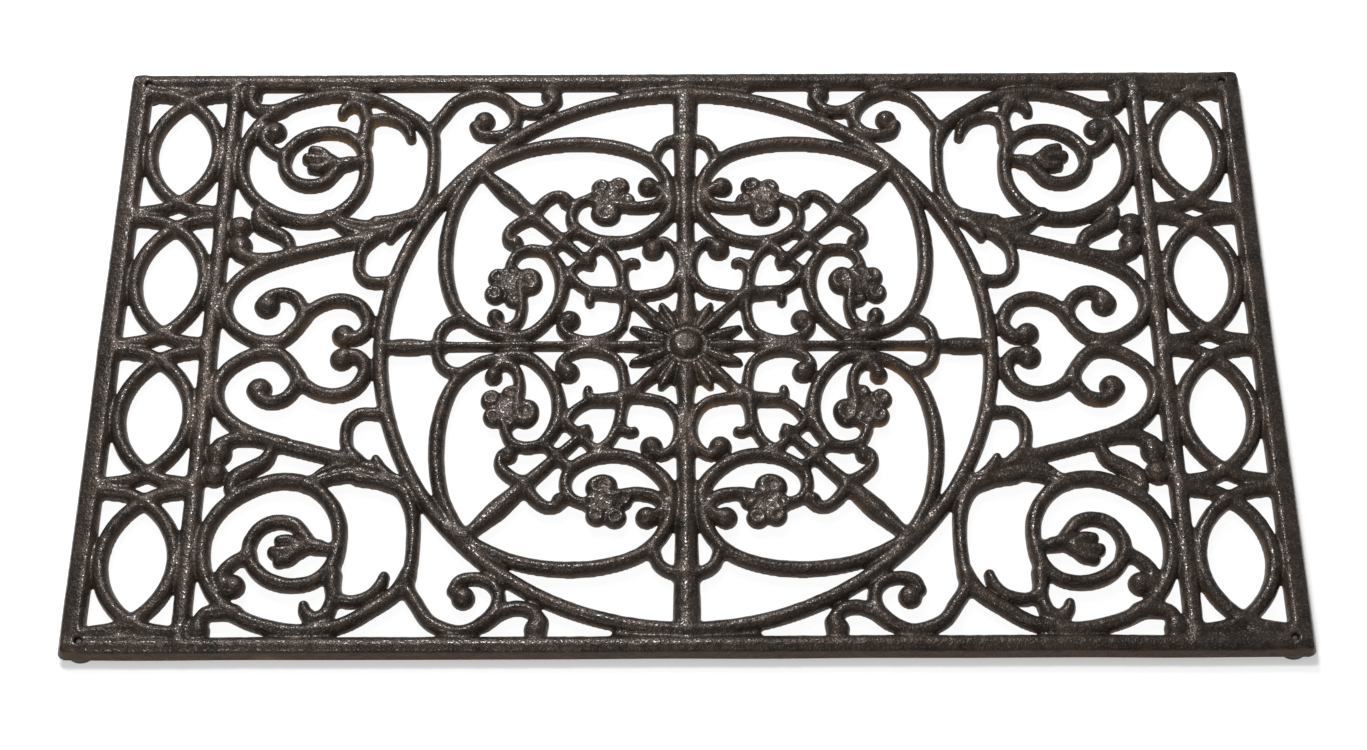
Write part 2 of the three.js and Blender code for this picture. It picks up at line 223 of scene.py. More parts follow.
# Routes of the bars in a quarter of the mat. Each point is (x, y, width), drawn for a mat with the sizes
# drawn_ring, drawn_panel_end and drawn_half_width.
lobe_half = [
    (130.5, 129.5, 8.5), (141, 114, 9), (147.3, 99, 9.7), (151.2, 72, 10.3), (149.3, 46.5, 10),
    (142, 26, 9.2), (130, 13.5, 8.7), (115, 8, 8.5), (99, 7.5, 9.2), (88, 16, 9), (79.5, 30.5, 9.5),
    (77.4, 46, 10.3), (80.5, 58.3, 10.2), (88, 67.6, 8.5), (98, 69.6, 8), (106, 66.2, 7.8),
    (110, 58.5, 7.5),
]
cross_lobe_half = [
    (130, 130, 8.5), (114, 140, 9), (99, 146, 9.5), (72, 150, 10), (46.5, 147.8, 9.8), (26, 140, 9.5),
    (14.3, 127.5, 9.5), (9.5, 112.5, 9.3), (10, 98, 10.5), (17.8, 86.8, 10), (31.7, 77.3, 9.3),
    (47, 75.2, 9.6), (60, 78.3, 9.6), (70.5, 87, 9), (72.3, 96, 8.5), (68.3, 104, 7.8), (60, 108, 7.5),
]
side_curl_half = [
    (97.5, 94, 8.5), (106.3, 88.7, 8.8), (112, 82.2, 8), (111.5, 75.2, 7.5), (107, 72.5, 7),
]
cross_side_curl_half = [(97.5, 94, 8.5), (91, 103.8, 8.8), (83.5, 109.6, 8), (77, 109, 7.5), (75, 105, 7)]
stem = [
    (104, 44, 8), (102, 27, 8), (105, 16.5, 8), (111.5, 12.7, 8), (117, 16.2, 7.5), (118.5, 20.5, 7),
]
cross_stem = [(46, 103, 8.5), (28, 101, 9), (17.5, 104, 9), (14, 110, 8), (17.5, 115, 8), (23, 117, 8)]
s_scroll = [
    (72, 19, 7.5), (77, 14, 7.5), (72.5, 7.3, 7.5), (62, 3.5, 7.5), (51.5, 4.8, 7.5), (42, 10.5, 7.5),
    (37.8, 23.5, 7.8), (38.5, 37, 7.5), (41.2, 54, 7.4), (46.5, 66, 7.4), (53.7, 71, 7.5), (60, 66.3, 7),
    (61.5, 58.5, 6),
]
cross_s_scroll = [
    (21, 70, 7.5), (15, 75.5, 7.5), (8, 71, 7.5), (4, 60.5, 7.5), (5.3, 49.5, 7.5), (11.8, 40.3, 7.5),
    (25, 36.4, 7.8), (39.5, 35.8, 7.4), (55, 37.6, 7.2), (67, 44.2, 7.2), (72, 52.7, 7.4), (67, 59, 7),
    (59, 61, 6),
]
hook = [(41, 38, 6.5), (50.5, 39.3, 6.5), (57.5, 37.5, 7), (60, 33.8, 7), (59.7, 31, 6.3)]
cross_hook = [(38, 41, 6.5), (39.5, 50, 6.5), (38, 57.3, 7), (34, 60, 7), (31.3, 59.4, 6.3)]
medallion_ends = [
    (118.3, 21, 11.5), (23.5, 116.8, 14.2), (107, 75.2, 10.5), (75.5, 105.5, 10.5), (72, 18.4, 14.5),
    (20.8, 69.7, 14.5),
]
diagonal_spindle = [
    (130.8, 129.2, 7.5), (121, 119.2, 11.3), (113, 111.2, 13.8), (105, 103.2, 12.3), (97, 95.2, 10.5),
    (86.5, 85, 9), (76.5, 75, 8), (67, 65.5, 7), (59.3, 56.5, 3.5),
]
diagonal_tie = [(69.5, 84.2, 7), (77.7, 76.2, 7.5), (85.7, 68, 7)]
diagonal_root = [(40, 40, 8.5), (20, 20, 8)]
spindle_loop = [
    (138, 19.5, 8), (147.3, 16.2, 8.5), (152, 9.8, 8.5), (153, 0, 8.5), (152, -9.8, 8.5),
    (147.3, -16.2, 8.5), (138, -19.5, 8),
]
cross_axis = [
    (0, 5, 12.5), (0, 17, 14.5), (0, 28, 13), (0, 40, 10.5), (0, 60, cross_axis_bar_width),
    (0, 105, cross_axis_bar_width), (0, 130, 14), (0, 156, 15.5), (0, 174, 16.5),
]
long_axis = [(5, 0, long_axis_bar_width), (152, 0, long_axis_bar_width), (171, 0, 12)]
panel_routes = [
    [
        (197, 94, 7.5), (183, 96, 8.5), (170.5, 101, 10.5), (164, 114, 10), (162, 131, 9),
        (162.3, 150, 9), (163.5, 166, 9.5), (157.5, 177, 9.5), (150, 188, 9.5), (140, 193.5, 9.5),
        (130, 195, 9.5), (120, 190.5, 9.5), (112, 182, 9.5), (110, 171, 9), (115.5, 163, 9),
        (125.5, 160.5, 8.5), (133.5, 162.7, 8.5), (136.7, 168.5, 8),
    ],
    [(117, 190, 7.5), (108, 182.5, 9), (99, 179.5, 9.5), (90, 182, 9.5), (85, 189, 10.5)],
    [
        (164, 158, 9.5), (171, 170, 10), (184.5, 180.5, 10), (200, 190, 10), (225, 194.5, 10),
        (245, 191.5, 10), (263, 184, 10), (278, 170, 10), (286, 150, 10), (286, 131, 10), (278, 114, 10),
        (263, 101, 11), (245, 94.5, 11), (226.5, 97, 11), (214, 107.5, 10), (207, 121, 10),
        (205.5, 137, 9.5), (208, 155, 8.5), (208, 167, 8.5), (203, 173.5, 8.5), (195, 175, 8.5),
        (185, 171.5, 8.5), (179.5, 165, 8.5), (177.5, 159, 7),
    ],
    [
        (206.5, 158, 8.5), (207.5, 174, 9), (211, 184, 10.5), (217.5, 186.5, 10.5), (222.8, 181.5, 9),
        (223.8, 178, 7),
    ],
    [
        (207, 146, 8.5), (212, 155, 8.5), (220, 162, 9.3), (234, 164.3, 9.7), (248, 159.5, 10),
        (257, 149.5, 9.5), (259, 138, 9.5), (253.5, 127, 9.5), (244, 122.3, 9.7), (233, 124, 9.7),
        (226, 132, 9.5), (220, 139, 8.5), (207, 141, 8.5),
    ],
    [(259, 145, 8.5), (267, 149, 9), (274, 158, 9.5), (273, 166, 9.5)],
    [(264, 182, 9), (273, 182, 10), (281, 183, 10.5), (285, 189, 10)],
    [(178, 96, 9.5), (183, 88, 9.5), (187, 80, 6)],
    [(273.5, 100, 9), (270.5, 92, 12.5), (263, 86.5, 11.5), (254, 80.5, 10.5), (250, 72, 7.5)],
    [(186, 48, 8.5), (199, 48.5, 8.5), (205, 55, 8.5), (206, 63, 8.5), (204.5, 72, 8.5), (197, 82, 9.5)],
    [
        (200, 81, 10), (212, 78.3, 10.7), (230, 73.4, 10.8), (250, 67.3, 10.8), (268, 59.7, 10.6),
        (280, 50.8, 10.3), (287, 39, 10), (288, 28, 10), (283.5, 17.5, 10), (275, 9.5, 10), (263, 4, 10),
        (251, 5, 10), (242.5, 13.5, 10), (236.2, 24, 9.5), (226.8, 31.7, 9.5), (215, 34.6, 9.8),
        (204.2, 30.9, 10), (198.3, 22.5, 10), (197.3, 14, 10), (202.5, 7, 10), (210, 5.5, 9),
    ],
    [(244, 69, 8.5), (262, 65.5, 9.5), (274, 65.5, 10.5), (282, 69.5, 11)],
    [
        (238, 21, 8.5), (240.3, 30.3, 9.5), (245.5, 37, 9.5), (254, 39.2, 9.5), (261, 36.3, 9.5),
        (265.3, 30.8, 8.5),
    ],
]
panel_leaf = [
    (172, 95, 6.5), (185, 91, 13.5), (200, 87, 16.5), (214, 90, 14.5), (222, 94, 9.5), (228, 99, 5),
]
panel_ends = [
    (130.5, 173, 14.5), (87.5, 193.5, 14.5), (267, 165, 15.5), (285, 194, 14.5), (284, 90, 16.5),
    (283, 75.5, 16.8), (212, 8.5, 15.5), (261.5, 30, 16),
]
bud_stem = [(217, 138.5, 8.5), (224, 139, 9.5), (230, 141, 12)]
bud_fingers = [
    [(229, 141, 9), (235, 147.5, 8.5), (240.7, 149, 8)],
    [(229, 141, 11), (237, 142.5, 9), (244, 143, 8.5)],
    [(229, 139, 9), (235, 135.3, 8.5), (240.5, 135.6, 8)],
]

# Flowers of five petals, as the x and y of the heart and the petals, each (degrees, reach, width).
long_axis_flower = (
    109.5, 44, [(33, 16, 13.5), (95, 14.5, 12), (167, 20.5, 20), (258, 16.5, 12), (325, 18.5, 14)],
)
cross_axis_flower = (
    48, 108, [(55, 16, 13.5), (-5, 14, 12), (-77, 20.5, 20), (-168, 16.5, 12), (123, 17.5, 14)],
)

# Rays of the star in a quarter. Each ray is (direction in degrees, share of the star's radius).
star_rays = [(0, 1), (20, 1), (45, 1), (62, 0.93)]


def smooth_line(route, closed=False, spacing=1.5):
    """The points of a smooth line through a route, close together. Each point is x, y and width."""
    knots = np.array(route, float)
    if closed:
        knots = np.vstack([knots[-1:], knots, knots[:2]])
    else:
        first = 2 * knots[:1] - knots[1:2]
        last = 2 * knots[-1:] - knots[-2:-1]
        knots = np.vstack([first, knots, last])
    made = []
    for a, b, c, d in zip(knots, knots[1:], knots[2:], knots[3:]):
        ab, bc, cd = (max(np.linalg.norm(q - p), 1e-6) ** 0.5 for p, q in ((a, b), (b, c), (c, d)))
        leave = ((b - a) / ab - (c - a) / (ab + bc) + (c - b) / bc) * bc
        arrive = ((c - b) / bc - (d - b) / (bc + cd) + (d - c) / cd) * bc
        count = max(2, int(np.linalg.norm((c - b)[:2]) / spacing))
        t = np.arange(count)[:, None] / count
        square = 3 * (c - b) - 2 * leave - arrive
        cube = 2 * (b - c) + leave + arrive
        made.append(b + leave * t + square * t**2 + cube * t**3)
    made.append(knots[-2:-1])
    return np.vstack(made)


# The mould.

# One quarter of the casting is held as a block of cells. Each cell holds how far it lies outside the iron,
# and a form is melted into the block round its own place. The quarter reaches a little past both axes.
cells_over = 10
cells_below = 2
room_beside = 2
room_above = 13.5
level_shift = 0.35
far_off = 8.0
form_margin = 4.0
lump_margin = 3.0
span_x = int(math.ceil((half_length + room_beside) / cell))
span_y = int(math.ceil((half_width + room_beside) / cell))
span_z = int(math.ceil(room_above / cell))
grid_x = (np.arange(-cells_over, span_x) + 0.5) * cell
grid_y = (np.arange(-cells_over, span_y) + 0.5) * cell
grid_z = (np.arange(-cells_below, span_z) + level_shift) * cell


def blank_mould():
    """A mould with no iron in it."""
    return np.full((len(grid_x), len(grid_y), len(grid_z)), far_off, np.float32)


def melt(one, other, radius=fillet):
    """Joins two forms, with a fillet where they meet."""
    near = np.clip(radius - np.abs(one - other), 0, None) / radius
    return np.minimum(one, other) - near * near * radius / 4


def carve(one, other, radius):
    """Cuts the second form away from the first, with a rounded edge."""
    near = np.clip(radius - np.abs(one + other), 0, None) / radius
    return np.maximum(one, -other) + near * near * radius / 4


def window(low_x, high_x, low_y, high_y, margin=form_margin):
    """The cells over a rectangle, or None if the quarter doesn't reach it."""
    i = np.searchsorted(grid_x, [low_x - margin, high_x + margin])
    j = np.searchsorted(grid_y, [low_y - margin, high_y + margin])
    if i[0] >= i[1] or j[0] >= j[1]:
        return None
    return slice(*i), slice(*j)


def section(aside, up, half, height, side_power=bar_side_power, up_power=crest_power):
    """How far a point lies outside a bar's section."""
    reach = (aside / half) ** side_power + (np.clip(up, 0, None) / height) ** up_power
    return (reach ** (1 / section_power) - 1) * half


def melt_in(mould, where, form, radius=fillet):
    """Joins a form to a part of the mould."""
    mould[where] = melt(mould[where], form.astype(np.float32), radius)


def track(line):
    """For the cells round a line: how far each lies from it, and the line's width there."""
    half = line[:, 2].max() / 2
    low = line.min(axis=0) - half
    high = line.max(axis=0) + half
    where = window(low[0], high[0], low[1], high[1])
    if where is None:
        return None
    xs = grid_x[where[0]]
    ys = grid_y[where[1]]
    apart = np.full((len(xs), len(ys)), 1e6)
    width = np.ones_like(apart)
    for a, b in zip(line, line[1:]):
        margin = max(a[2], b[2]) / 2 + form_margin
        i = np.searchsorted(xs, [min(a[0], b[0]) - margin, max(a[0], b[0]) + margin])
        j = np.searchsorted(ys, [min(a[1], b[1]) - margin, max(a[1], b[1]) + margin])
        if i[0] >= i[1] or j[0] >= j[1]:
            continue
        dx = xs[i[0]:i[1], None] - a[0]
        dy = ys[None, j[0]:j[1]] - a[1]
        along = b[:2] - a[:2]
        t = np.clip((dx * along[0] + dy * along[1]) / max(along @ along, 1e-9), 0, 1)
        gap = np.hypot(dx - t * along[0], dy - t * along[1])
        part = (slice(*i), slice(*j))
        nearer = gap < apart[part]
        apart[part] = np.where(nearer, gap, apart[part])
        width[part] = np.where(nearer, a[2] + (b[2] - a[2]) * t, width[part])
    return where, apart, width


def bar(
    mould,
    route,
    height=bar_height,
    side_power=bar_side_power,
    closed=False,
    taper=True,
    groove=0.0,
    radius=fillet,
):
    """One bar of the casting, with a groove of the given depth along its crest."""
    found = track(smooth_line(route, closed))
    if found is None:
        return
    where, apart, width = found
    top = np.full_like(width, height)
    if taper:
        top = height * np.minimum(1, lowest_tip_share + width / pointed_width)
    if groove:
        top = top - groove * np.exp(-((apart / (width * leaf_groove_share)) ** 2))
    form = section(apart[:, :, None], grid_z, (width / 2)[:, :, None], top[:, :, None], side_power)
    beyond = apart[:, :, None] > width.max() / 2 + form_margin - 0.1
    form = np.where(beyond, far_off, form)
    melt_in(mould, where, form, radius)


def dome(mould, x, y, across, height, power=button_side_power, radius=button_fillet):
    """A round button, such as a curl ends in."""
    half = across / 2
    where = window(x - half, x + half, y - half, y + half)
    if where is None:
        return
    apart = np.hypot(grid_x[where[0]][:, None] - x, grid_y[where[1]][None, :] - y)
    form = section(apart[:, :, None], grid_z, half, height, power, button_crest_power)
    melt_in(mould, where, form, radius)


def lump(mould, centre, axis_degrees, sizes, radius=lump_fillet, cut=False):
    """An egg-shaped lump, or the dent of one. Sizes are half of its length, width and height."""
    x, y, z = centre
    reach = max(sizes[0], sizes[1])
    where = window(x - reach, x + reach, y - reach, y + reach, lump_margin)
    if where is None:
        return
    turn = math.radians(axis_degrees)
    dx = grid_x[where[0]][:, None] - x
    dy = grid_y[where[1]][None, :] - y
    along = (dx * math.cos(turn) + dy * math.sin(turn)) / sizes[0]
    aside = (dy * math.cos(turn) - dx * math.sin(turn)) / sizes[1]
    up = (grid_z - z) / sizes[2]
    form = (np.sqrt((along**2 + aside**2)[:, :, None] + up**2) - 1) * min(sizes)
    if cut:
        mould[where] = carve(mould[where], form.astype(np.float32), radius)
    else:
        melt_in(mould, where, form, radius)


def flower(mould, x, y, petals):
    """Small cupped petals and one broad lip round a heart, fused like a pansy's."""
    x, y, _ = in_medallion([(x, y, 0)])[0]
    places = []
    for degrees, reach, width in petals:
        turn = math.radians(degrees)
        deep = width * (petal_depth_share if width < least_lip_width else lip_depth_share)
        out = reach - deep
        places.append((x + out * math.cos(turn), y + out * math.sin(turn), degrees, width, deep))
    for px, py, degrees, width, deep in places:
        lump(mould, (px, py, petal_foot), degrees, (deep, width / 2, petal_rise), petal_fillet)
    dome(mould, x, y, heart_width, heart_height)
    for px, py, degrees, width, deep in places:
        dent = (deep * dent_length_share, width * dent_width_share, dent_depth)
        lump(mould, (px, py, dent_height), degrees, dent, dent_edge_round, cut=True)
    lump(mould, (x, y, hollow_height), 0, hollow_sizes, dent_edge_round, cut=True)


def star(mould):
    """Sixteen rays on a thin disc, round a boss that stands in a groove."""
    across = [(-star_disc_reach, 0, star_disc_width), (star_disc_reach, 0, star_disc_width)]
    for route in (across, swapped(across)):
        bar(mould, route, star_disc_height, star_disc_power, taper=False, radius=star_disc_fillet)
    directions = []
    for quarter in range(4):
        for degrees, share in star_rays:
            turned = 90 - degrees if quarter % 2 else degrees
            directions.append((90 * quarter + turned, share))
    for degrees, share in directions:
        turn = math.radians(degrees)
        ray = []
        for out, width in ray_outline:
            out = out * share
            ray.append((out * math.cos(turn), out * math.sin(turn), width))
        bar(mould, ray, ray_height, ray_side_power, taper=False, radius=ray_fillet)
    where = window(-star_disc_reach, star_disc_reach, -star_disc_reach, star_disc_reach)
    out = np.hypot(grid_x[where[0]][:, None], grid_y[where[1]][None, :])[:, :, None]
    ditch = np.hypot(out - boss_groove_line, grid_z - boss_groove_height) - boss_groove_radius
    mould[where] = carve(mould[where], ditch.astype(np.float32), boss_groove_edge_round)
    dome(mould, 0, 0, boss_width, boss_height, boss_power, boss_fillet)


def straight_rails(mould):
    """The four outer rails, whose outer faces lean in and whose crests lie near the inside."""
    in_x = half_length - grid_x[:, None]
    in_y = half_width - grid_y[None, :]
    made = None
    rails = [(in_x, side_rail_width, side_rail_crest), (in_y, long_rail_width, long_rail_crest)]
    for inward, width, crest in rails:
        past = np.clip((inward - crest) / (width - crest), 0, None)
        before = np.clip((crest - inward) / (crest - rail_edge_draft), 0, None)
        top = rail_height - (rail_height - rail_edge_height) * before**rail_slope_power
        part = section(past[:, :, None], grid_z, 1.0, top[:, :, None], rail_inner_power)
        part = part * (width - crest)
        part = np.broadcast_to(part, mould.shape)
        made = part if made is None else melt(made, part, mitre_fillet)
    melt_in(mould, (slice(None), slice(None)), made)


def outer_faces():
    """How far each cell lies inside the leaning outer faces of the mat, which cut every form off."""
    in_x = half_length - grid_x[:, None]
    in_y = half_width - grid_y[None, :]
    corner_x = np.clip(corner_radius - in_x, 0, None)
    corner_y = np.clip(corner_radius - in_y, 0, None)
    rounded = corner_radius - np.hypot(corner_x, corner_y)
    inward = np.where((corner_x > 0) | (corner_y > 0), rounded, np.minimum(in_x, in_y))
    lean = math.hypot(rail_edge_height, rail_edge_draft)
    return (inward[:, :, None] * rail_edge_height - grid_z * rail_edge_draft) / lean


def lattice(mould):
    """The interlaced half circles between the inner bar and the side rail, and a low web at the long rail.
    Each half circle is rooted in one side and bulges until it touches the other."""
    reach = half_width - long_rail_width
    tall = 2 * reach / lattice_cells
    near = inner_bar_far - lattice_bar_width * lattice_root_in_bar
    far = half_length - side_rail_width + lattice_bar_width * lattice_root_in_rail
    gap = lattice_bar_width * lattice_bulge_gap
    half = tall / 2 - lattice_bar_width * lattice_end_gap
    for i in range(-1, lattice_cells // 2):
        middle = tall * (i + 0.5)
        for start, end in ((far, near + gap), (near, far - gap)):
            arc = []
            for k in range(lattice_steps + 1):
                angle = -math.pi / 2 + math.pi * k / lattice_steps
                across = start + (end - start) * math.cos(angle)
                arc.append((across, middle + half * math.sin(angle), lattice_bar_width))
            bar(mould, arc, radius=lattice_fillet)
    middle = (near + far) / 2
    web = []
    for x in (middle - lattice_web_reach, middle + lattice_web_reach):
        web.append((x, reach - lattice_web_inset, lattice_web_width))
    bar(mould, web, lattice_web_height)


def medallion(mould):
    """One quarter of the scrollwork inside the ring."""
    routes = [diagonal_spindle, diagonal_tie, diagonal_root, stem, cross_stem, s_scroll, cross_s_scroll]
    routes += [hook, cross_hook]
    routes.append(lobe_half[:0:-1] + cross_lobe_half)
    routes.append(side_curl_half[:0:-1] + cross_side_curl_half)
    for route in routes:
        bar(mould, in_medallion(route))
    for x, y, across in in_medallion(medallion_ends):
        dome(mould, x, y, across, button_height)
    flower(mould, *long_axis_flower)
    flower(mould, *cross_axis_flower)


def corner_panel(mould):
    """The scrollwork between the ring, the inner bar and a long rail."""
    for route in panel_routes:
        bar(mould, in_panel(route))
    bar(mould, in_panel(panel_leaf), side_power=leaf_side_power, groove=leaf_groove)
    bar(mould, in_panel(bud_stem))
    for finger in bud_fingers:
        bar(mould, in_panel(finger), finger_height, radius=finger_fillet)
    for x, y, across in in_panel(panel_ends):
        dome(mould, x, y, across, button_height)


def axes_and_ring(mould):
    """The ring, its low web to the long rail, the inner bar, and the two bars that cross in the star."""
    turns = np.linspace(0, 2 * np.pi, ring_points, endpoint=False)
    ring = [(ring_line * math.cos(a), ring_line * math.sin(a), ring_width) for a in turns]
    bar(mould, ring, side_power=rail_side_power, closed=True)
    upright = [(inner_bar_line, y, inner_bar_width) for y in (inner_bar_start, inner_bar_end)]
    bar(mould, upright, side_power=rail_side_power)
    web_line = ring_outer - ring_web_inset
    web = [(x * ring_scale, web_line, ring_web_width) for x in ring_web_places]
    bar(mould, web, ring_web_height)
    bar(mould, in_medallion(cross_axis) + [(0, ring_line, cross_axis_root_width)])
    bar(mould, in_medallion(long_axis) + [(ring_line, 0, long_axis_root_width)])
    bar(mould, in_medallion(spindle_loop))
    bar(mould, in_medallion(swapped(spindle_loop)))
    star(mould)


def with_twin(mould, axis):
    """Melts the part near an axis into its mirror image."""
    strip = [slice(None)] * 3
    strip[axis] = slice(0, 2 * cells_over)
    strip = tuple(strip)
    part = mould[strip]
    mould[strip] = melt(part, np.flip(part, axis))


def quarter_mould():
    """The quarter at the right and back, with its rails, bars and scrollwork and the hole for a foot."""
    mould = blank_mould()
    medallion(mould)
    corner_panel(mould)
    with_twin(mould, 0)
    with_twin(mould, 1)
    lattice(mould)
    crossing = blank_mould()
    axes_and_ring(crossing)
    straight_rails(crossing)
    mould = melt(mould, crossing)
    mould = carve(mould, outer_faces().astype(np.float32), outer_edge_round)
    hole_x = grid_x[:, None] - (half_length - foot_inset_from_side)
    hole_y = grid_y[None, :] - (half_width - foot_inset_from_front)
    hole = np.hypot(hole_x, hole_y) - stem_hole_diameter / 2
    mould = carve(mould, hole[:, :, None], hole_edge_round)
    mould = np.maximum(mould, -grid_z[None, None, :])
    return mould[cells_over:, cells_over:]


def whole_mould():
    """The quarter and its three mirror images."""
    quarter = quarter_mould()
    half = np.concatenate([quarter[::-1], quarter], axis=0)
    return np.concatenate([half[:, ::-1], half], axis=1)


# From mould to mesh.


def skin_of(mould):
    """The skin of the iron: a point in each cell that the surface passes, and quads between them."""
    # A cell between eight corners holds a point where some of them lie in the iron and some don't.
    inside = mould < 0
    count = np.zeros(tuple(n - 1 for n in mould.shape), np.uint8)
    for corner in range(8):
        a = corner & 1
        b = corner >> 1 & 1
        c = corner >> 2
        count += inside[a:mould.shape[0] - 1 + a, b:mould.shape[1] - 1 + b, c:mould.shape[2] - 1 + c]
    cells = np.argwhere((count > 0) & (count < 8))
    number = np.full(count.shape, -1, np.int64)
    number[tuple(cells.T)] = np.arange(len(cells))
    # The point is the middle of the places where the cell's edges cross the surface.
    total = np.zeros((len(cells), 3))
    hits = np.zeros(len(cells))
    for axis in range(3):
        others = [k for k in range(3) if k != axis]
        for p in range(2):
            for q in range(2):
                start = cells.copy()
                start[:, others[0]] += p
                start[:, others[1]] += q
                end = start.copy()
                end[:, axis] += 1
                one = mould[tuple(start.T)]
                two = mould[tuple(end.T)]
                cut = (one < 0) != (two < 0)
                share = np.where(cut, one / np.where(cut, one - two, 1), 0)
                point = start - cells + 0.0
                point[:, axis] = share
                total += point * cut[:, None]
                hits += cut
    points = cells + total / hits[:, None]
    # Each edge that crosses the surface gives a quad between the points of the four cells round it.
    quads = []
    for axis in range(3):
        u = (axis + 1) % 3
        v = (axis + 2) % 3
        low = [slice(1, -1)] * 3
        high = [slice(1, -1)] * 3
        low[axis] = slice(0, -1)
        high[axis] = slice(1, None)
        one = inside[tuple(low)]
        two = inside[tuple(high)]
        for enters in (False, True):
            edge = np.argwhere(one & ~two if not enters else ~one & two)
            edge += [0 if k == axis else 1 for k in range(3)]
            around = []
            for p, q in ((-1, -1), (0, -1), (0, 0), (-1, 0)):
                place = edge.copy()
                place[:, u] += p
                place[:, v] += q
                around.append(number[tuple(place.T)])
            quads.append(np.stack(around[::-1] if enters else around, axis=1))
    return points, np.vstack(quads)


# Odd numbers that mix the corners of the noise's cells, and how far apart the seeds lie.
mix_x = 73856093
mix_y = 19349663
mix_z = 83492791
mix_seed = 2654435
mix_last = 1274126177
seed_distance = 17.31


def soft_noise(points, size, seed):
    """Smooth random values from -1 to 1 over space, with features of about the given size."""
    scaled = points / size + seed * seed_distance
    base = np.floor(scaled).astype(np.int64)
    part = scaled - base
    part = part * part * (3 - 2 * part)
    value = np.zeros(len(points))
    for corner in range(8):
        step = np.array([corner & 1, corner >> 1 & 1, corner >> 2])
        node = base + step
        mixed = (node[:, 0] * mix_x) ^ (node[:, 1] * mix_y) ^ (node[:, 2] * mix_z) ^ (seed * mix_seed)
        mixed = (mixed ^ (mixed >> 13)) * mix_last
        random = ((mixed ^ (mixed >> 16)) & 0xFFFF) / 32767.5 - 1
        weight = np.prod(np.where(step == 1, part, 1 - part), axis=1)
        value += random * weight
    return value


def face_normals(points, quads):
    """A normal for each quad, as long as twice its area."""
    across = points[quads[:, 2]] - points[quads[:, 0]]
    other = points[quads[:, 3]] - points[quads[:, 1]]
    return np.cross(across, other)


def point_normals(points, quads):
    """A normal of length 1 for each point, from the quads round it."""
    faces = face_normals(points, quads)
    total = np.zeros_like(points)
    for k in range(4):
        for axis in range(3):
            total[:, axis] += np.bincount(quads[:, k], faces[:, axis], len(points))
    return total / np.maximum(np.linalg.norm(total, axis=1), 1e-12)[:, None]


def cast_casting():
    """Points in millimetres from the floor, quads, and normals of the whole casting."""
    mould = whole_mould()
    points, quads = skin_of(mould)
    first_x = grid_x[cells_over] - cell * (len(grid_x) - cells_over)
    first_y = grid_y[cells_over] - cell * (len(grid_y) - cells_over)
    origin = np.array([first_x, first_y, grid_z[0]])
    points = points * cell + origin
    normals = point_normals(points, quads)
    rough = np.zeros(len(points))
    for height, size, seed in surface_lumps:
        rough += height * soft_noise(points, size, seed)
    upper = np.clip(points[:, 2] / 2, 0, 1)
    points = points + normals * (rough * upper)[:, None]
    points[:, 0] += sway * soft_noise(points, sway_size, sway_seeds[0])
    points[:, 1] += sway * soft_noise(points, sway_size, sway_seeds[1])
    points[:, 0] = np.clip(points[:, 0], -half_length, half_length)
    points[:, 1] = np.clip(points[:, 1], -half_width, half_width)
    points[:, 2] = np.clip(points[:, 2], 0, highest_iron) + ground_clearance
    return points, quads, point_normals(points, quads)


corner_names = ["front_left", "front_right", "back_left", "back_right"]
region_names = ["star", "left_rails", "right_rails", "left_lattice", "right_lattice"]
first_scrollwork = len(region_names)
region_names += [corner + "_scrollwork" for corner in corner_names]
first_lobes = len(region_names)
region_names += [corner + "_lobes" for corner in corner_names]


def region_of(points):
    """The number of the region of the mat that each point lies in."""
    x = np.abs(points[:, 0])
    y = np.abs(points[:, 1])
    out = np.hypot(points[:, 0], points[:, 1])
    side = (points[:, 0] > 0).astype(int)
    corner = side + 2 * (points[:, 1] > 0)
    number = np.where(out < ring_outer, first_lobes + corner, first_scrollwork + corner)
    number = np.where(x > inner_bar_near, region_names.index("left_lattice") + side, number)
    number = np.where(out < star_region_radius, region_names.index("star"), number)
    rail = (x > half_length - side_rail_width) | (y > half_width - long_rail_width)
    return np.where(rail, region_names.index("left_rails") + side, number)


def into_scene(name, mesh):
    """A new piece with this mesh."""
    piece = bpy.data.objects.new(name, mesh)
    bpy.context.scene.collection.objects.link(piece)
    return piece


def mesh_from(name, points, quads, normals):
    """A piece made from points in millimetres and quads, shaded with the casting's own normals."""
    used, flat = np.unique(quads, return_inverse=True)
    mesh = bpy.data.meshes.new(name)
    mesh.vertices.add(len(used))
    mesh.vertices.foreach_set("co", (points[used] * MM).astype(np.float32).ravel())
    mesh.loops.add(flat.size)
    mesh.loops.foreach_set("vertex_index", flat.astype(np.int32).ravel())
    mesh.polygons.add(len(quads))
    mesh.polygons.foreach_set("loop_start", np.arange(0, flat.size, 4, dtype=np.int32))
    mesh.update(calc_edges=True)
    mesh.validate()
    mesh.shade_smooth()
    mesh.normals_split_custom_set_from_vertices(normals[used].tolist())
    return into_scene(name, mesh)


def lathe(name, outline, place, steps):
    """A turned piece. The outline is points of radius and height in millimetres, from the foot up."""
    turns = np.linspace(0, 2 * np.pi, steps, endpoint=False)
    count = len(outline)
    points = []
    for out, up in outline:
        for a in turns:
            points.append((place[0] + out * math.cos(a), place[1] + out * math.sin(a), up))
    faces = []
    for k in range(count - 1):
        for i in range(steps):
            j = (i + 1) % steps
            faces.append((k * steps + i, k * steps + j, (k + 1) * steps + j, (k + 1) * steps + i))
    faces.append(tuple(reversed(range(steps))))
    faces.append(tuple(range((count - 1) * steps, count * steps)))
    mesh = bpy.data.meshes.new(name)
    mesh.from_pydata([(x * MM, y * MM, z * MM) for x, y, z in points], [], faces)
    mesh.shade_smooth()
    return into_scene(name, mesh)


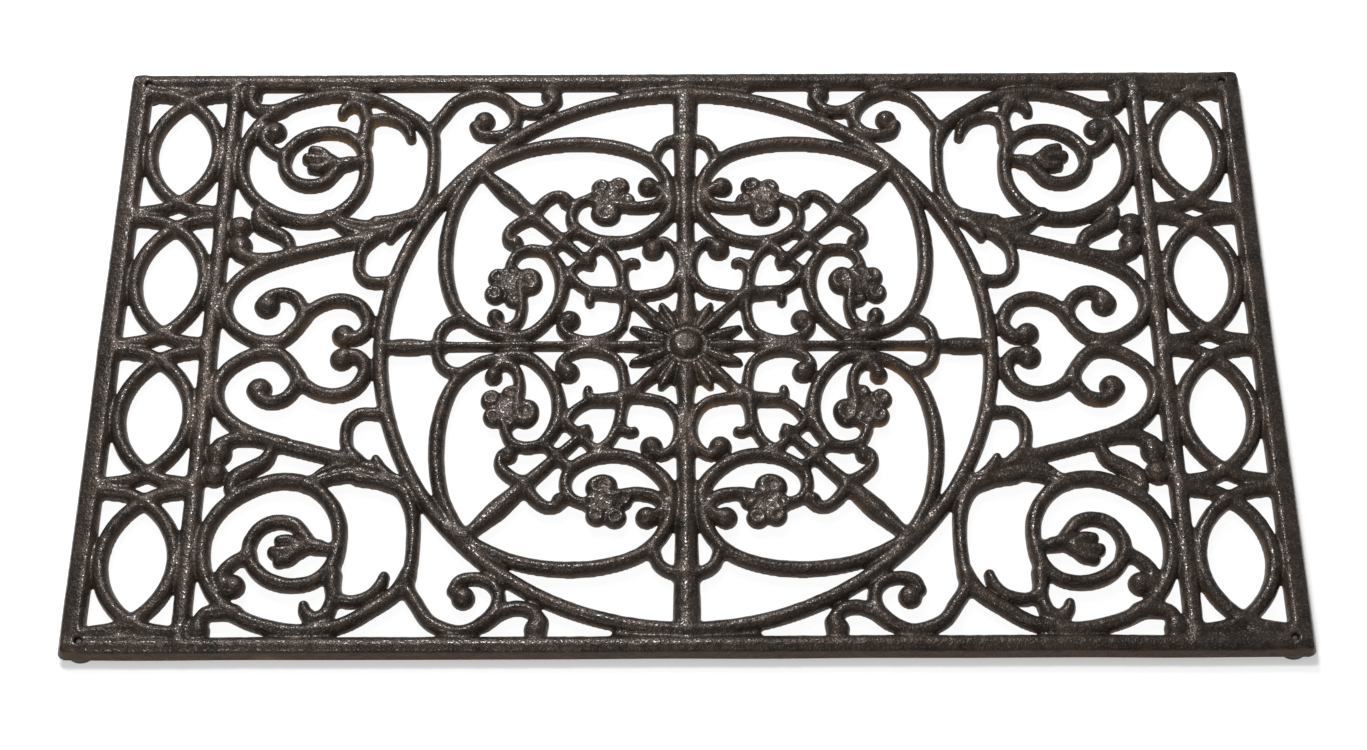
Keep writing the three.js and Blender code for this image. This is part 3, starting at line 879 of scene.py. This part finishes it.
def rubber_foot(name, place):
    """A push-in foot: a soft-edged disc and the stem that shows in its hole."""
    radius = foot_diameter / 2
    top = ground_clearance - fit_gap
    stem_radius = stem_hole_diameter / 2 - fit_gap
    stem_top = ground_clearance + rail_height - stem_sunk_below_crest
    low_line = radius - foot_edge_round
    top_line = radius - foot_side_draft - foot_top_round
    outline = [(low_line - 1, 0), (low_line, 0.02)]
    for k in range(1, foot_corner_steps + 1):
        a = math.pi / 2 * k / foot_corner_steps
        outline.append((low_line + foot_edge_round * math.sin(a), foot_edge_round * (1 - math.cos(a))))
    for k in range(foot_corner_steps + 1):
        a = math.pi / 2 * k / foot_corner_steps
        up = top - foot_top_round * (1 - math.sin(a))
        outline.append((top_line + foot_top_round * math.cos(a), up))
    outline += [(stem_radius + 0.5, top), (stem_radius, top + 0.3), (stem_radius, stem_top - 0.6)]
    outline += [(stem_radius - 0.2, stem_top - 0.15), (stem_radius - 0.7, stem_top)]
    return lathe(name, outline, place, foot_steps)


# Finishes.

# Colours of the iron: its lacquer at its darkest and lightest, the lighter brown of its walls, which is
# painted light standing in for the floor they reflect, and rust and dust.
dark_lacquer = (0.0066, 0.0048, 0.0036, 1)
brown_lacquer = (0.025, 0.0182, 0.0140, 1)
painted_wall_light_brown = (0.056, 0.0390, 0.0290, 1)
rust_brown = (0.115, 0.068, 0.032, 1)
dust_brown = (0.075, 0.054, 0.041, 1)

# Colours of the feet.
rubber_black = (0.0075, 0.0075, 0.0082, 1)
rubber_dust = (0.05, 0.047, 0.043, 1)

# The share of white glow that the camera sees in the floor: inside the mat's outline, where the glow
# covers the mat's shade in the openings as painted light; right beside it, where the mat shades it; and
# from floor_fade, in metres, outwards, where the glow fades the shadow away.
glow_over_shade_inside = 0.94
white_beside = 0.3
white_beyond = 0.97
floor_fade = 0.045


def add_node(tree, kind, place, **values):
    """A node with its inputs or settings filled in."""
    node = tree.nodes.new(kind)
    node.location = place
    for key, value in values.items():
        if key in node.inputs:
            node.inputs[key].default_value = value
        else:
            setattr(node, key, value)
    return node


def new_group(name, inputs, outputs):
    """An empty shader group. Inputs are (name, kind, value), and outputs are (name, kind)."""
    group = bpy.data.node_groups.new(name, "ShaderNodeTree")
    for label, kind, value in inputs:
        socket = group.interface.new_socket(name=label, in_out="INPUT", socket_type=kind)
        socket.default_value = value
    for label, kind in outputs:
        group.interface.new_socket(name=label, in_out="OUTPUT", socket_type=kind)
    return group


def link_all(tree, pairs):
    """Links each output to its input."""
    for out, into in pairs:
        tree.links.new(out, into)


def calculate(tree, place, operation, number=None):
    """A node that works on two values. The number, where one is given, is the second."""
    node = add_node(tree, "ShaderNodeMath", place, operation=operation)
    if number is not None:
        node.inputs[1].default_value = number
    return node


def spread(tree, place, from_low=0, from_high=1, to_low=0, to_high=1):
    """A node that spreads one range of values over another and stops at its ends."""
    node = add_node(tree, "ShaderNodeMapRange", place)
    node.inputs["From Min"].default_value = from_low
    node.inputs["From Max"].default_value = from_high
    node.inputs["To Min"].default_value = to_low
    node.inputs["To Max"].default_value = to_high
    return node


def seen_directly(tree):
    """An output that is 1 for what the camera sees straight, in a gloss or through glass, and else 0."""
    rays = add_node(tree, "ShaderNodeLightPath", (-600, 300))
    mirrored = calculate(tree, (-400, 400), "MAXIMUM")
    either = calculate(tree, (-200, 300), "MAXIMUM")
    link_all(tree, [
        (rays.outputs["Is Camera Ray"], either.inputs[0]),
        (rays.outputs["Is Glossy Ray"], mirrored.inputs[0]),
        (rays.outputs["Is Transmission Ray"], mirrored.inputs[1]),
        (mirrored.outputs[0], either.inputs[1]),
    ])
    return either.outputs[0]


def sand_grain():
    """The grain that moulding sand leaves: fine grit, pits and lumps, as a height and a glint mask."""
    group = new_group(
        "Sand grain",
        [("Grit size", "NodeSocketFloat", 0.0011), ("Pits", "NodeSocketFloat", 0.5)],
        [("Height", "NodeSocketFloat"), ("Glint", "NodeSocketFloat")],
    )
    ends = add_node(group, "NodeGroupInput", (-900, 0))
    result = add_node(group, "NodeGroupOutput", (700, 0))
    place = add_node(group, "ShaderNodeTexCoord", (-900, 300))
    per_metre = calculate(group, (-700, 0), "DIVIDE")
    per_metre.inputs[0].default_value = 1.0
    grit = add_node(group, "ShaderNodeTexNoise", (-500, 200), Detail=2.0, Roughness=0.5)
    pits = add_node(group, "ShaderNodeTexVoronoi", (-500, -100), feature="SMOOTH_F1", Smoothness=0.6)
    lumps = add_node(group, "ShaderNodeTexNoise", (-500, -400), Scale=320.0, Detail=1.0)
    deep = calculate(group, (-250, -100), "MULTIPLY")
    fine = calculate(group, (0, 100), "MULTIPLY_ADD", 1.0)
    coarse = calculate(group, (200, 0), "MULTIPLY_ADD", 1.4)
    glint = spread(group, (200, 300), from_low=0.53, from_high=0.68)
    link_all(group, [
        (ends.outputs["Grit size"], per_metre.inputs[1]),
        (per_metre.outputs[0], grit.inputs["Scale"]),
        (per_metre.outputs[0], pits.inputs["Scale"]),
        (place.outputs["Object"], grit.inputs["Vector"]),
        (place.outputs["Object"], pits.inputs["Vector"]),
        (place.outputs["Object"], lumps.inputs["Vector"]),
        (pits.outputs["Distance"], deep.inputs[0]),
        (ends.outputs["Pits"], deep.inputs[1]),
        (grit.outputs["Fac"], fine.inputs[0]),
        (deep.outputs[0], fine.inputs[2]),
        (lumps.outputs["Fac"], coarse.inputs[0]),
        (fine.outputs[0], coarse.inputs[2]),
        (coarse.outputs[0], result.inputs["Height"]),
        (grit.outputs["Fac"], glint.inputs["Value"]),
        (glint.outputs[0], result.inputs["Glint"]),
    ])
    return group


def settled_dust():
    """Pale dust that lies in patches."""
    group = new_group(
        "Settled dust",
        [("Colour", "NodeSocketColor", (0, 0, 0, 1)), ("Dust", "NodeSocketColor", (0.2, 0.18, 0.15, 1)),
         ("Amount", "NodeSocketFloat", 0.2)],
        [("Colour", "NodeSocketColor"), ("Mask", "NodeSocketFloat")],
    )
    ends = add_node(group, "NodeGroupInput", (-900, 0))
    result = add_node(group, "NodeGroupOutput", (600, 0))
    place = add_node(group, "ShaderNodeTexCoord", (-900, 300))
    patches = add_node(group, "ShaderNodeTexNoise", (-650, 300), Scale=140.0, Detail=5.0, Roughness=0.65)
    keep = spread(group, (-400, 300), from_low=0.42, from_high=0.72)
    much = calculate(group, (0, 200), "MULTIPLY")
    blend = add_node(group, "ShaderNodeMix", (300, 0), data_type="RGBA")
    link_all(group, [
        (place.outputs["Object"], patches.inputs["Vector"]),
        (patches.outputs["Fac"], keep.inputs["Value"]),
        (keep.outputs[0], much.inputs[0]),
        (ends.outputs["Amount"], much.inputs[1]),
        (much.outputs[0], blend.inputs["Factor"]),
        (ends.outputs["Colour"], blend.inputs[6]),
        (ends.outputs["Dust"], blend.inputs[7]),
        (blend.outputs[2], result.inputs["Colour"]),
        (much.outputs[0], result.inputs["Mask"]),
    ])
    return group


def place_group(tree, place, group, **values):
    """A shader group placed in a material, with its own values. An underscore stands for a space."""
    node = add_node(tree, "ShaderNodeGroup", place)
    node.node_tree = group
    for key, value in values.items():
        node.inputs[key.replace("_", " ")].default_value = value
    return node


def shader_of(material):
    """A material's node tree and its main shader."""
    material.use_nodes = True
    tree = material.node_tree
    return tree, tree.nodes["Principled BSDF"]


def lacquered_iron(grain, dust):
    """Brown lacquer over sand-cast iron: gloss specks on crests, dust in patches, and on the walls rust
    and a lighter brown of painted light.
    """
    material = bpy.data.materials.new("Lacquered cast iron")
    tree, shader = shader_of(material)
    place = add_node(tree, "ShaderNodeTexCoord", (-1900, 0))
    # Walls look sideways and crests look up. Walls get a lighter brown, painted light for the floor they
    # reflect, and rust in patches.
    surface = add_node(tree, "ShaderNodeNewGeometry", (-1900, 500))
    lean = add_node(tree, "ShaderNodeSeparateXYZ", (-1700, 500))
    wall_light_and_rust = spread(tree, (-1500, 600), from_low=0.72, from_high=0.3)
    crest = spread(tree, (-1500, 350), from_low=0.45, from_high=0.92)
    tone = add_node(tree, "ShaderNodeTexNoise", (-1500, 100), Scale=45.0, Detail=4.0, Roughness=0.6)
    ramp = add_node(tree, "ShaderNodeValToRGB", (-1300, 100))
    ramp.color_ramp.elements[0].position = 0.3
    ramp.color_ramp.elements[0].color = dark_lacquer
    ramp.color_ramp.elements[1].position = 0.72
    ramp.color_ramp.elements[1].color = brown_lacquer
    grit = place_group(tree, (-1300, -300), grain, Grit_size=0.0013, Pits=0.4)
    # Painted light: faces that look sideways are mixed towards a lighter brown, as if lit by the floor
    # they reflect.
    painted_wall_light = add_node(tree, "ShaderNodeMix", (-1000, 300), data_type="RGBA")
    painted_wall_light.inputs[7].default_value = painted_wall_light_brown
    patches = add_node(tree, "ShaderNodeTexNoise", (-1500, -150), Scale=11.0, Detail=3.0, Roughness=0.55)
    rusty = spread(tree, (-1300, -100), from_low=0.6, from_high=0.68)
    rust_share = calculate(tree, (-1000, 0), "MULTIPLY")
    rusting = add_node(tree, "ShaderNodeMix", (-800, 250), data_type="RGBA")
    rusting.inputs[7].default_value = rust_brown
    dusty = place_group(tree, (-550, 200), dust, Dust=dust_brown, Amount=0.2)
    shine = spread(tree, (-550, -50), to_low=0.35, to_high=0.22)
    specks = calculate(tree, (-800, -250), "MULTIPLY")
    coat = calculate(tree, (-550, -250), "MULTIPLY", 0.75)
    bump = add_node(tree, "ShaderNodeBump", (-550, -500), Strength=1.0, Distance=0.0004)
    shader.inputs["Metallic"].default_value = 0.48
    shader.inputs["Specular IOR Level"].default_value = 0.11
    shader.inputs["Coat Roughness"].default_value = 0.18
    link_all(tree, [
        (surface.outputs["Normal"], lean.inputs[0]),
        (lean.outputs["Z"], wall_light_and_rust.inputs["Value"]),
        (lean.outputs["Z"], crest.inputs["Value"]),
        (place.outputs["Object"], tone.inputs["Vector"]),
        (place.outputs["Object"], patches.inputs["Vector"]),
        (tone.outputs["Fac"], ramp.inputs["Fac"]),
        (ramp.outputs["Color"], painted_wall_light.inputs[6]),
        (wall_light_and_rust.outputs[0], painted_wall_light.inputs["Factor"]),
        (patches.outputs["Fac"], rusty.inputs["Value"]),
        (rusty.outputs[0], rust_share.inputs[0]),
        (wall_light_and_rust.outputs[0], rust_share.inputs[1]),
        (rust_share.outputs[0], rusting.inputs["Factor"]),
        (painted_wall_light.outputs[2], rusting.inputs[6]),
        (rusting.outputs[2], dusty.inputs["Colour"]),
        (dusty.outputs["Colour"], shader.inputs["Base Color"]),
        (grit.outputs["Glint"], shine.inputs["Value"]),
        (shine.outputs[0], shader.inputs["Roughness"]),
        (grit.outputs["Glint"], specks.inputs[0]),
        (crest.outputs[0], specks.inputs[1]),
        (specks.outputs[0], coat.inputs[0]),
        (coat.outputs[0], shader.inputs["Coat Weight"]),
        (grit.outputs["Height"], bump.inputs["Height"]),
        (bump.outputs["Normal"], shader.inputs["Normal"]),
    ])
    return material


def moulded_rubber(grain, dust):
    """Black rubber with a dull, finely grained skin."""
    material = bpy.data.materials.new("Moulded rubber")
    tree, shader = shader_of(material)
    grit = place_group(tree, (-900, -200), grain, Grit_size=0.0005, Pits=0.2)
    dusty = place_group(tree, (-500, 200), dust, Colour=rubber_black, Dust=rubber_dust, Amount=0.3)
    rough = spread(tree, (-500, -50), to_low=0.6, to_high=0.85)
    bump = add_node(tree, "ShaderNodeBump", (-500, -350), Strength=0.4, Distance=0.0001)
    link_all(tree, [
        (dusty.outputs["Colour"], shader.inputs["Base Color"]),
        (dusty.outputs["Mask"], rough.inputs["Value"]),
        (rough.outputs[0], shader.inputs["Roughness"]),
        (grit.outputs["Height"], bump.inputs["Height"]),
        (bump.outputs["Normal"], shader.inputs["Normal"]),
    ])
    return material


def white_floor():
    """White to the camera inside the openings, where a glow covers the mat's shade, and darker round the
    mat where the mat shades it.
    """
    material = bpy.data.materials.new("Studio floor")
    material.use_nodes = True
    tree = material.node_tree
    tree.nodes.clear()
    out = add_node(tree, "ShaderNodeOutputMaterial", (600, 0))
    glow = add_node(tree, "ShaderNodeEmission", (-200, 0), Color=(1, 1, 1, 1), Strength=1.0)
    paint = add_node(tree, "ShaderNodeBsdfDiffuse", (-200, -150), Color=(0.82, 0.82, 0.82, 1))
    white_share = calculate(tree, (0, 300), "MULTIPLY")
    place = add_node(tree, "ShaderNodeTexCoord", (-1100, 600))
    split = add_node(tree, "ShaderNodeSeparateXYZ", (-900, 600))
    beside = calculate(tree, (-700, 700), "ABSOLUTE")
    before = calculate(tree, (-700, 550), "ABSOLUTE")
    past_side = calculate(tree, (-500, 700), "SUBTRACT", half_length * MM)
    past_front = calculate(tree, (-500, 550), "SUBTRACT", half_width * MM)
    past = calculate(tree, (-300, 600), "MAXIMUM")
    within = calculate(tree, (-100, 700), "LESS_THAN", -0.5 * long_rail_width * MM)
    fade = spread(tree, (-100, 550), from_high=floor_fade, to_low=white_beside, to_high=white_beyond)
    share = spread(tree, (100, 600), to_high=glow_over_shade_inside)
    both = add_node(tree, "ShaderNodeMixShader", (300, 0))
    link_all(tree, [
        (seen_directly(tree), white_share.inputs[0]),
        (place.outputs["Object"], split.inputs[0]),
        (split.outputs["X"], beside.inputs[0]),
        (split.outputs["Y"], before.inputs[0]),
        (beside.outputs[0], past_side.inputs[0]),
        (before.outputs[0], past_front.inputs[0]),
        (past_side.outputs[0], past.inputs[0]),
        (past_front.outputs[0], past.inputs[1]),
        (past.outputs[0], within.inputs[0]),
        (past.outputs[0], fade.inputs["Value"]),
        (within.outputs[0], share.inputs["Value"]),
        (fade.outputs[0], share.inputs["To Min"]),
        (share.outputs[0], white_share.inputs[1]),
        (white_share.outputs[0], both.inputs["Fac"]),
        (paint.outputs[0], both.inputs[1]),
        (glow.outputs[0], both.inputs[2]),
        (both.outputs[0], out.inputs["Surface"]),
    ])
    return material


# Building.

grain_group = sand_grain()
dust_group = settled_dust()
iron = lacquered_iron(grain_group, dust_group)
rubber = moulded_rubber(grain_group, dust_group)

points, quads, normals = cast_casting()
middles = points[quads].mean(axis=1)
regions = region_of(middles)
for number, region in enumerate(region_names):
    mine = quads[regions == number]
    piece = mesh_from(region, points, mine, normals)
    piece.data.materials.append(iron)
    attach(piece, "root")
    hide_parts("mat_casting")

for side, side_name in ((-1, "left"), (1, "right")):
    for end, end_name in ((-1, "front"), (1, "back")):
        place = (side * (half_length - foot_inset_from_side), end * (half_width - foot_inset_from_front))
        foot = rubber_foot("foot_" + end_name + "_" + side_name, place)
        foot.data.materials.append(rubber)
        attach(foot, "root")
        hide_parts("rubber_foot_" + end_name + "_" + side_name)

# Studio.

floor_reach = 9
floor_mesh = bpy.data.meshes.new("floor")
floor_corners = [(x * floor_reach, y * floor_reach, 0) for x, y in ((-1, -1), (1, -1), (1, 1), (-1, 1))]
floor_mesh.from_pydata(floor_corners, [], [(0, 1, 2, 3)])
floor = into_scene("floor", floor_mesh)
floor.data.materials.append(white_floor())


def softbox(name, place, aim, size, power):
    """A rectangular lamp. Its power is in watts."""
    lamp = bpy.data.lights.new(name, "AREA")
    lamp.shape = "RECTANGLE"
    lamp.size = size[0]
    lamp.size_y = size[1]
    lamp.energy = power
    holder = bpy.data.objects.new(name, lamp)
    holder.location = place
    holder.rotation_mode = "QUATERNION"
    holder.rotation_quaternion = (Vector(aim) - Vector(place)).to_track_quat("-Z", "Y")
    bpy.context.scene.collection.objects.link(holder)


softbox("back softbox", (-0.5, 1.3, 1.5), (0, 0, 0), (0.9, 0.5), 46)
softbox("top softbox", (-0.2, 0.55, 1.5), (0, 0, 0), (0.4, 0.22), 20)
softbox("front fill", (-0.8, -1.4, 1.6), (0, 0, 0), (0.9, 0.7), 18)

world = bpy.data.worlds.new("studio")
bpy.context.scene.world = world
world.use_nodes = True
sky = world.node_tree
sky.nodes.clear()
sky_out = add_node(sky, "ShaderNodeOutputWorld", (400, 0))
sky_dim = add_node(sky, "ShaderNodeBackground", (-200, 0), Color=(1, 1, 1, 1), Strength=0.3)
sky_white = add_node(sky, "ShaderNodeBackground", (-200, -150), Color=(1, 1, 1, 1), Strength=1.0)
sky_mix = add_node(sky, "ShaderNodeMixShader", (200, 0))
link_all(sky, [
    (seen_directly(sky), sky_mix.inputs["Fac"]),
    (sky_dim.outputs[0], sky_mix.inputs[1]),
    (sky_white.outputs[0], sky_mix.inputs[2]),
    (sky_mix.outputs[0], sky_out.inputs["Surface"]),
])

# The camera stands where the photograph was taken from: 61.5 degrees above the mat.
photo_width_pixels = 1367
focal_length_pixels = 2386
frame_width = 36
camera_place = Vector((0.0004, -0.7205, 1.2965))
pitch = math.radians(61.48)
roll = math.radians(-0.327)
yaw = math.radians(0.156)
camera_data = bpy.data.cameras.new("camera")
camera_data.sensor_width = frame_width
camera_data.lens = focal_length_pixels / photo_width_pixels * frame_width
camera = bpy.data.objects.new("camera", camera_data)
bpy.context.scene.collection.objects.link(camera)
turn = Matrix.Rotation(yaw, 3, "Z")
right = turn @ Vector((1, 0, 0))
ahead = turn @ Vector((0, math.cos(pitch), -math.sin(pitch)))
above = turn @ Vector((0, math.sin(pitch), math.cos(pitch)))
camera_right = right * math.cos(roll) + above * math.sin(roll)
camera_above = above * math.cos(roll) - right * math.sin(roll)
camera_turn = Matrix((camera_right, camera_above, -ahead)).transposed().to_4x4()
camera.matrix_world = Matrix.Translation(camera_place) @ camera_turn
bpy.context.scene.camera = camera
bpy.context.scene.view_settings.view_transform = "Standard"
